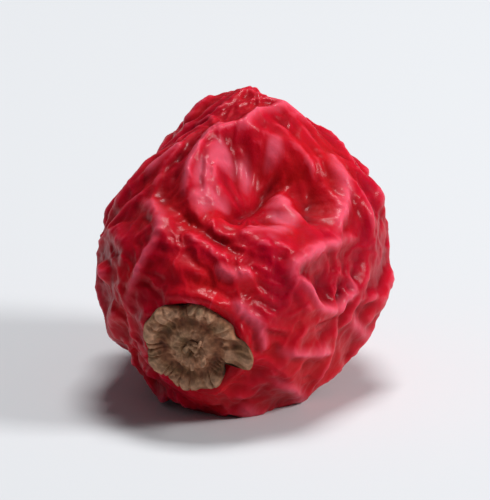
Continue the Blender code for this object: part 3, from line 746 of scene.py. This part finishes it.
# Its outline: wide lobes, so many of each kind to the round, a ragged edge in two parts, each with
# its size, fineness and seed, and a notch.
DISC_LOBES = (3, 5, 8)
DISC_LOBE_HEIGHT = 0.04 * MM
DISC_LOBE_SIZES = (0.4, 1.0)
RAGGED_EDGE = ((0.045 * MM, 2.6, 3), (0.02 * MM, 7.0, 4))
NOTCH_TURN = math.radians(121)
NOTCH_WIDTH = 0.16
NOTCH_FROM = 0.55
NOTCH_DEPTH = 0.16 * MM
NOTCH_SINK = 0.14 * MM

# Its worn face: fibres and splits that run outwards, each with a fineness round the rim, one
# outwards and a seed, and crumbs and small bumps, each with a spacing and a seed.
FIBRE_RISE = 0.035 * MM
FIBRE_FROM = (0.1, 0.5)
FIBRES = (8.0, 2.2, 6)
SPLIT_SINK = 0.09 * MM
SPLIT_FROM = (0.55, 0.8)
SPLIT_THINNESS = 5.0
SPLITS = (5.0, 1.2, 9)
CRUMB_RISE = 0.028 * MM
CRUMB_STRAY = (14, 0.5 * MM, 0.04 * MM)
CRUMB_EDGES = 2.4
CRUMBS = (0.14 * MM, 7)
BUMP_RISE = 0.03 * MM
BUMPS = (0.3 * MM, 8)

# The flake, which starts at a share of the radius, lies flat and thinner than the disc, and has a
# crack between it and the rest.
FLAKE_TURN = math.radians(97)
FLAKE_WIDTH = 0.34
FLAKE_FROM = 0.78
FLAKE_REACH = 0.34 * MM
FLAKE_FOOT = 0.38 * MM
FLAKE_THINNING = 0.42
FLAKE_ROUGHNESS = 0.1 * MM
FLAKE_ROUGH_PATCHES = (0.17 * MM, 11)
CRACK_AT = 0.88
CRACK_HALF_WIDTH = 0.06
CRACK_SPREAD = 1.3
CRACK_DEPTH = 0.12 * MM

# The withered threads, with the radius of their feet and tips, and how far they lean in radians.
THREADS = 16
THREAD_SEED = 23
THREAD_SIDES = 8
THREADS_AT = (0.12 * MM, -0.1 * MM)
THREAD_SPREAD = 0.26 * MM
THREAD_LENGTHS = (0.3 * MM, 0.5 * MM)
THREAD_FEET = (0.06 * MM, 0.1 * MM)
THREAD_TIPS = (0.02 * MM, 0.05 * MM)
THREAD_LEAN = 0.9
THREAD_OUT = 0.3

# What the cork's colour reads: how deep a point lies, as a share of this span, which darkens its
# hollows as painted shade, and its crumbs.  The threads have one value of each.
DEPTH_SPAN = 0.3 * MM
THREAD_DEPTH = 0.08
THREAD_CRUMBS = 0.8


def extrude_up(rise, widening):
    """Extrudes the selected face along Z and widens it about its middle."""
    bpy.ops.mesh.extrude_region_move(TRANSFORM_OT_translate={"value": (0.0, 0.0, rise)})
    bpy.ops.transform.resize(value=(widening, widening, 1.0), center_override=(0.0, 0.0, 0.0))


def start_round(name, sides, radius):
    """Adds a round plate at the origin, named and with its face selected in edit mode."""
    bpy.ops.object.select_all(action="DESELECT")
    bpy.ops.mesh.primitive_circle_add(
        vertices=sides, radius=radius, fill_type="NGON", location=(0.0, 0.0, 0.0))
    item = bpy.context.object
    item.name = name
    bpy.ops.object.mode_set(mode="EDIT")
    bpy.ops.mesh.select_mode(type="FACE")
    bpy.ops.mesh.select_all(action="SELECT")
    return item


def put_in_place(item, place):
    item.matrix_world = place
    bpy.ops.object.transform_apply(location=True, rotation=True, scale=True)


def round_the_axis(spots):
    """The turn of each point round the Z axis, and its direction from there."""
    turn = np.arctan2(spots[:, 0], spots[:, 1])
    return turn, np.stack((np.sin(turn), np.cos(turn), 0.0 * turn), 1)


def turn_from(turn, middle):
    """How far a turn is from a middle one, from minus to plus half a round."""
    return np.angle(np.exp(1j * (turn - middle)))


def rays(directions, along, around_fineness, along_fineness, seed):
    """Noise in rays or fibres, with one fineness round the axis and one along them."""
    return grain(directions * around_fineness + along[:, None] * (0.0, 0.0, along_fineness), 1.0, seed)


disc = start_round("corky_tip_disc", DISC_SIDES, DISC_FOOT * DISC_RADIUS)
extrude_up(DISC_SIDE_RISES[0], 1.0 / DISC_FOOT)
extrude_up(DISC_SIDE_RISES[1], 1.0)
for width, rise in DISC_STEPS:
    bpy.ops.mesh.inset(thickness=width * MM, depth=rise * MM)
bpy.ops.mesh.poke(offset=DISC_PIT)
bpy.ops.object.mode_set(mode="OBJECT")
apply_finer(disc, SMOOTHING)

spots = coordinates(disc.data)
outward = np.hypot(spots[:, 0], spots[:, 1]) / DISC_RADIUS
turn, directions = round_the_axis(spots)
on_face = smooth_step(*DISC_FACE, spots[:, 2])
depth = spots[:, 2].max() - spots[:, 2]
dice = random.Random(DISC_SEED)
wave = np.zeros(len(spots))
for count in DISC_LOBES:
    size = dice.uniform(*DISC_LOBE_SIZES)
    start = dice.uniform(0.0, 2.0 * math.pi)
    wave += DISC_LOBE_HEIGHT * size * np.sin(count * turn + start)
ragged = sum(size * grain(fineness * directions, 1.0, seed) for size, fineness, seed in RAGGED_EDGE)
notch = bell(turn_from(turn, NOTCH_TURN), NOTCH_WIDTH) * smooth_step(NOTCH_FROM, 1.0, outward)
from_flake = turn_from(turn, FLAKE_TURN)
flake = bell(from_flake, FLAKE_WIDTH, 4) * smooth_step(FLAKE_FROM, 1.0, outward)
stretch = 1.0 + ((wave + ragged) * outward**2 - NOTCH_DEPTH * notch + FLAKE_REACH * flake) / DISC_RADIUS
crack = bell(from_flake, CRACK_SPREAD * FLAKE_WIDTH, 4) * bell(outward - CRACK_AT, CRACK_HALF_WIDTH)
splits = np.clip(np.abs(rays(directions, outward, *SPLITS)) * SPLIT_THINNESS, 0.0, 1.0)
crumbs = 1.0 - CRUMB_EDGES * np.abs(grain(strayed(spots, *CRUMB_STRAY), *CRUMBS))
lift = wave * outward**2
lift += FIBRE_RISE * rays(directions, outward, *FIBRES) * smooth_step(*FIBRE_FROM, outward)
lift -= SPLIT_SINK * (1.0 - splits) * smooth_step(*SPLIT_FROM, outward)
lift += CRUMB_RISE * crumbs + BUMP_RISE * grain(spots, *BUMPS) - NOTCH_SINK * notch
lift += FLAKE_ROUGHNESS * grain(spots, *FLAKE_ROUGH_PATCHES) * flake - CRACK_DEPTH * crack
spots[:, :2] *= stretch[:, None]
spots[:, 2] += (FLAKE_FOOT - (1.0 - FLAKE_THINNING) * spots[:, 2]) * flake + lift * on_face

middle_height = spots[outward < 0.1, 2].mean()
dice = random.Random(THREAD_SEED)
bpy.ops.object.mode_set(mode="EDIT")
for thread in range(THREADS):
    away = THREAD_SPREAD * math.sqrt(dice.random())
    round_turn = dice.uniform(0.0, 2.0 * math.pi)
    length = dice.uniform(*THREAD_LENGTHS)
    bpy.ops.mesh.primitive_cone_add(
        vertices=THREAD_SIDES,
        radius1=dice.uniform(*THREAD_FEET),
        radius2=dice.uniform(*THREAD_TIPS),
        depth=length,
        location=(
            THREADS_AT[0] + away * math.cos(round_turn),
            THREADS_AT[1] + away * math.sin(round_turn),
            middle_height + THREAD_OUT * length,
        ),
        rotation=(dice.uniform(-THREAD_LEAN, THREAD_LEAN), dice.uniform(-THREAD_LEAN, THREAD_LEAN), 0.0),
    )
bpy.ops.object.mode_set(mode="OBJECT")
added = coordinates(disc.data)[len(spots):]
disc.data.vertices.foreach_set("co", np.concatenate((spots, added)).ravel())
# How deep each point lies, for painted shade in the hollows; the threads are given one value.
painted_hollow_shade = np.concatenate(((depth - lift) / DEPTH_SPAN, np.full(len(added), THREAD_DEPTH)))
crumbly = np.concatenate((0.5 + 0.5 * crumbs, np.full(len(added), THREAD_CRUMBS)))
set_attribute(disc.data, "depth", painted_hollow_shade)
set_attribute(disc.data, "crumbs", crumbly)
bpy.ops.object.shade_smooth()
TIP_PLACE = Matrix.Translation(BODY_CENTRE) @ Matrix.Rotation(TIP_DIP + 0.5 * math.pi, 4, "X")
put_in_place(disc, TIP_PLACE @ Matrix.Translation((0.0, 0.0, DISC_BACK)))

# Dry cork: dead plant tissue that grew over the flower's scar, tan with olive and brown stains,
# darker in its hollows as painted shade, matt and crumbly.  Its cells are about 0.03 mm across, and
# its specks are drawn four times as coarse, so that they show.

CORK_STAIN = 0.55 * MM
CORK_SPECK = 0.12 * MM
CORK_SPECK_RISE = 0.02 * MM

cork = bpy.data.materials.new("dry_cork")
cork.use_nodes = True
shader = cork.node_tree.nodes["Principled BSDF"]
place = add_node(cork, "ShaderNodeTexCoord").outputs["Object"]
painted_hollow_shade = add_node(cork, "ShaderNodeAttribute", attribute_name="depth").outputs["Fac"]
crumb = add_node(cork, "ShaderNodeAttribute", attribute_name="crumbs").outputs["Fac"]
# The deeper a point lies, the darker it is: painted shade in the hollows.
base = add_node(cork, "ShaderNodeValToRGB", {0: painted_hollow_shade}, stops=(
    (0.0, "DCA480"), (1.0, "48200E"), (0.3, "B87C58"), (0.6, "82462A"))).outputs[0]
stain = add_node(cork, "ShaderNodeTexNoise", {
    "Vector": place, "Scale": 1 / CORK_STAIN, "Detail": 4.0, "Roughness": 0.6}).outputs["Fac"]
stain_share = add_node(cork, "ShaderNodeMapRange", {
    "Value": stain, "From Min": 0.45, "From Max": 0.65, "To Max": 0.45}).outputs[0]
stained = add_node(cork, "ShaderNodeMix", {
    "Factor": stain_share, 6: base, 7: linear("807046")}, data_type="RGBA").outputs[2]
speck = add_node(cork, "ShaderNodeTexNoise", {
    "Vector": place, "Scale": 1 / CORK_SPECK, "Detail": 5.0, "Roughness": 0.65}).outputs["Fac"]
speck_share = add_node(cork, "ShaderNodeMapRange", {
    "Value": speck, "From Min": 0.35, "From Max": 0.7, "To Min": 0.55}).outputs[0]
crumb_share = add_node(cork, "ShaderNodeMapRange", {"Value": crumb, "To Min": 0.6}).outputs[0]
shade = add_node(cork, "ShaderNodeMath", {0: speck_share, 1: crumb_share}, operation="MULTIPLY").outputs[0]
colour = add_node(cork, "ShaderNodeMix", {
    "Factor": 1.0, 6: stained, 7: shade}, data_type="RGBA", blend_type="MULTIPLY").outputs[2]
cork.node_tree.links.new(colour, shader.inputs["Base Color"])
bump = add_node(cork, "ShaderNodeBump", {
    "Height": speck, "Strength": 0.8, "Distance": CORK_SPECK_RISE}).outputs["Normal"]
cork.node_tree.links.new(bump, shader.inputs["Normal"])
shader.inputs["Roughness"].default_value = 0.88
disc.data.materials.append(cork)
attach(disc, "root")
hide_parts("stigma_disc")

# The stub: the stalk that the berry hung on, a thin woody stem under dry bark.  It grew out of the
# dimple at the back and snapped off about a millimetre out, so its end is splintered.

# It is narrowest a little under halfway, wider at its end, and leans to the right and up.
STUB_RADIUS = 0.38 * MM
STUB_BACK = 4.099 * MM
STUB_LENGTH = 1.0 * MM
STUB_WAIST = 0.3
STUB_WAIST_PACE = 1.2
STUB_FLARE = 0.1
STUB_LEAN = (0.16 * MM, 0.096 * MM)
STUB_SIDES = 40
STUB_RINGS = 12
STUB_STEPS = ((0.05, 0.01), (0.06, -0.05), (0.07, 0.02), (0.06, -0.05))
STUB_PIT = -0.03 * MM

# Its bark has fibres that run lengthwise, fine rings and small bumps, and its end stands up in
# splinters and specks.  The fibres and splinters have a fineness round the stub, one along them and
# a seed, and the rest a spacing and a seed.
BARK_FIBRES = (3.4, 1.1 / MM, 21)
BARK_FIBRE_RISE = 0.045 * MM
BARK_RING_SPACING = 0.13 * MM
BARK_RING_RISE = 0.004 * MM
BARK_RING_WANDER = 4.0
BARK_RING_PATCHES = (0.4 * MM, 22)
BARK_BUMP_RISE = 0.02 * MM
BARK_BUMPS = (0.16 * MM, 23)
BARK_FROM = (0.3, 0.8)
SPLINTERS = (4.2, 2.0, 24)
SPLINTER_RISE = 0.11 * MM
SPLINTER_SPECK_RISE = 0.05 * MM
SPLINTER_SPECKS = (0.09 * MM, 25)
END_FROM = 0.8


def stub_width(share):
    """The width at a share of the length, as a share of the width at the foot."""
    return 1.0 - STUB_WAIST * math.sin(math.pi * min(1.0, STUB_WAIST_PACE * share)) + STUB_FLARE * share


stub = start_round("stalk_stump", STUB_SIDES, STUB_RADIUS)
for ring in range(STUB_RINGS):
    extrude_up(STUB_LENGTH / STUB_RINGS, stub_width((ring + 1) / STUB_RINGS) / stub_width(ring / STUB_RINGS))
for width, rise in STUB_STEPS:
    bpy.ops.mesh.inset(thickness=width * MM, depth=rise * MM)
bpy.ops.mesh.poke(offset=STUB_PIT)
bpy.ops.object.mode_set(mode="OBJECT")
apply_finer(stub, SMOOTHING)

spots = coordinates(stub.data)
turn, directions = round_the_axis(spots)
share = spots[:, 2] / STUB_LENGTH
from_axis = np.hypot(spots[:, 0], spots[:, 1]) / STUB_RADIUS
at_end = smooth_step(END_FROM, 1.0, share)
fibres = rays(directions, spots[:, 2], *BARK_FIBRES)
rings = 2.0 * math.pi * spots[:, 2] / BARK_RING_SPACING
rings = np.cos(rings + BARK_RING_WANDER * grain(spots, *BARK_RING_PATCHES))
swell = BARK_FIBRE_RISE * fibres + BARK_RING_RISE * rings * (1.0 - at_end)
swell += BARK_BUMP_RISE * grain(spots, *BARK_BUMPS)
spots[:, :2] *= 1.0 + (swell / STUB_RADIUS * smooth_step(*BARK_FROM, from_axis))[:, None]
spots[:, 2] += SPLINTER_RISE * at_end * rays(directions, from_axis, *SPLINTERS)
spots[:, 2] += SPLINTER_SPECK_RISE * at_end * grain(spots, *SPLINTER_SPECKS)
spots[:, 0] += STUB_LEAN[0] * share**2
spots[:, 1] -= STUB_LEAN[1] * share**2
stub.data.vertices.foreach_set("co", spots.ravel())
set_attribute(stub.data, "broken", smooth_step(0.92, 1.0, share) * smooth_step(1.05, 0.8, from_axis))
set_attribute(stub.data, "fibres", 0.5 + 0.5 * fibres)
bpy.ops.object.shade_smooth()
STALK_PLACE = Matrix.Translation(BODY_CENTRE) @ Matrix.Rotation(TIP_DIP - 0.5 * math.pi, 4, "X")
put_in_place(stub, STALK_PLACE @ Matrix.Translation((0.0, 0.0, STUB_BACK)))

# Dry stalk: thin bark dried onto woody fibres, dull brown, matt and rough, over pale splintered
# wood where it broke.  Its specks are drawn about as coarse as the cork's, so that they show.

BARK_SPECK = 0.1 * MM
BARK_SPECK_RISE = 0.02 * MM

bark = bpy.data.materials.new("dry_stalk_bark")
bark.use_nodes = True
shader = bark.node_tree.nodes["Principled BSDF"]
place = add_node(bark, "ShaderNodeTexCoord").outputs["Object"]
broken = add_node(bark, "ShaderNodeAttribute", attribute_name="broken").outputs["Fac"]
fibre = add_node(bark, "ShaderNodeAttribute", attribute_name="fibres").outputs["Fac"]
base = add_node(bark, "ShaderNodeValToRGB", {0: fibre}, stops=(
    (0.2, "2F2216"), (0.85, "7A6446"), (0.5, "54402A"))).outputs[0]
wood = add_node(bark, "ShaderNodeMix", {
    "Factor": broken, 6: base, 7: linear("B89E70")}, data_type="RGBA").outputs[2]
speck = add_node(bark, "ShaderNodeTexNoise", {
    "Vector": place, "Scale": 1 / BARK_SPECK, "Detail": 5.0, "Roughness": 0.65}).outputs["Fac"]
speck_share = add_node(bark, "ShaderNodeMapRange", {
    "Value": speck, "From Min": 0.3, "From Max": 0.7, "To Min": 0.5}).outputs[0]
colour = add_node(bark, "ShaderNodeMix", {
    "Factor": 1.0, 6: wood, 7: speck_share}, data_type="RGBA", blend_type="MULTIPLY").outputs[2]
bark.node_tree.links.new(colour, shader.inputs["Base Color"])
bump = add_node(bark, "ShaderNodeBump", {
    "Height": speck, "Strength": 0.8, "Distance": BARK_SPECK_RISE}).outputs["Normal"]
bark.node_tree.links.new(bump, shader.inputs["Normal"])
shader.inputs["Roughness"].default_value = 0.82
stub.data.materials.append(bark)
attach(stub, "root")
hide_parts("stalk_stub")

# The floor: a wide sheet of matt pale paper, laid flat under the berry.  It isn't part of the
# object.

FLOOR_SIDE = 3.0

bpy.ops.object.select_all(action="DESELECT")
bpy.ops.mesh.primitive_plane_add(size=FLOOR_SIDE, location=(0.0, 0.0, 0.0))
floor = bpy.context.object
floor.name = "floor"
paper = bpy.data.materials.new("matt_paper")
paper.use_nodes = True
paper.node_tree.nodes["Principled BSDF"].inputs["Base Color"].default_value = linear("D6D8DB")
paper.node_tree.nodes["Principled BSDF"].inputs["Roughness"].default_value = 0.8
floor.data.materials.append(paper)

# The light: two soft boxes, one above and a little behind and one at the right, and a pale room all
# round.  Each box has its place, its side in metres and its power in watts.

SOFT_BOXES = (
    ("overhead", (0.0, 0.06, 0.21), 0.07, 0.38),
    ("right", (0.18, 0.01, 0.12), 0.07, 0.34),
)
ROOM_LIGHT = 0.13

world = bpy.data.worlds.new("pale_room")
bpy.context.scene.world = world
world.use_nodes = True
world.node_tree.nodes["Background"].inputs["Color"].default_value = linear("E6ECF5")
world.node_tree.nodes["Background"].inputs["Strength"].default_value = ROOM_LIGHT
for name, where, side, watts in SOFT_BOXES:
    bpy.ops.object.light_add(type="AREA", location=where)
    lamp = bpy.context.object
    lamp.name = name
    lamp.data.shape = "SQUARE"
    lamp.data.size = side
    lamp.data.energy = watts
    lamp.rotation_euler = (BODY_CENTRE - Vector(where)).to_track_quat("-Z", "Y").to_euler()

# The camera looks from the front, a little to the right of the tip and from above, from so far away
# that nothing near looks larger.

CAMERA_LENS = 1000
SENSOR = 36
VIEW_SPAN = 12.0 * MM
VIEW_MIDDLE = BODY_CENTRE + 0.2 * MM * VIEW_RIGHT + 0.16 * MM * VIEW_UP
NEAREST_SEEN = 0.01

camera = bpy.data.objects.new("camera", bpy.data.cameras.new("camera"))
bpy.context.scene.collection.objects.link(camera)
camera.data.lens = CAMERA_LENS
camera.data.sensor_width = SENSOR
camera.data.clip_start = NEAREST_SEEN
camera.location = VIEW_MIDDLE + TO_VIEWER * (VIEW_SPAN * CAMERA_LENS / SENSOR)
camera.rotation_euler = (-TO_VIEWER).to_track_quat("-Z", "Y").to_euler()
bpy.context.scene.camera = camera
bpy.context.scene.view_settings.view_transform = "Standard"
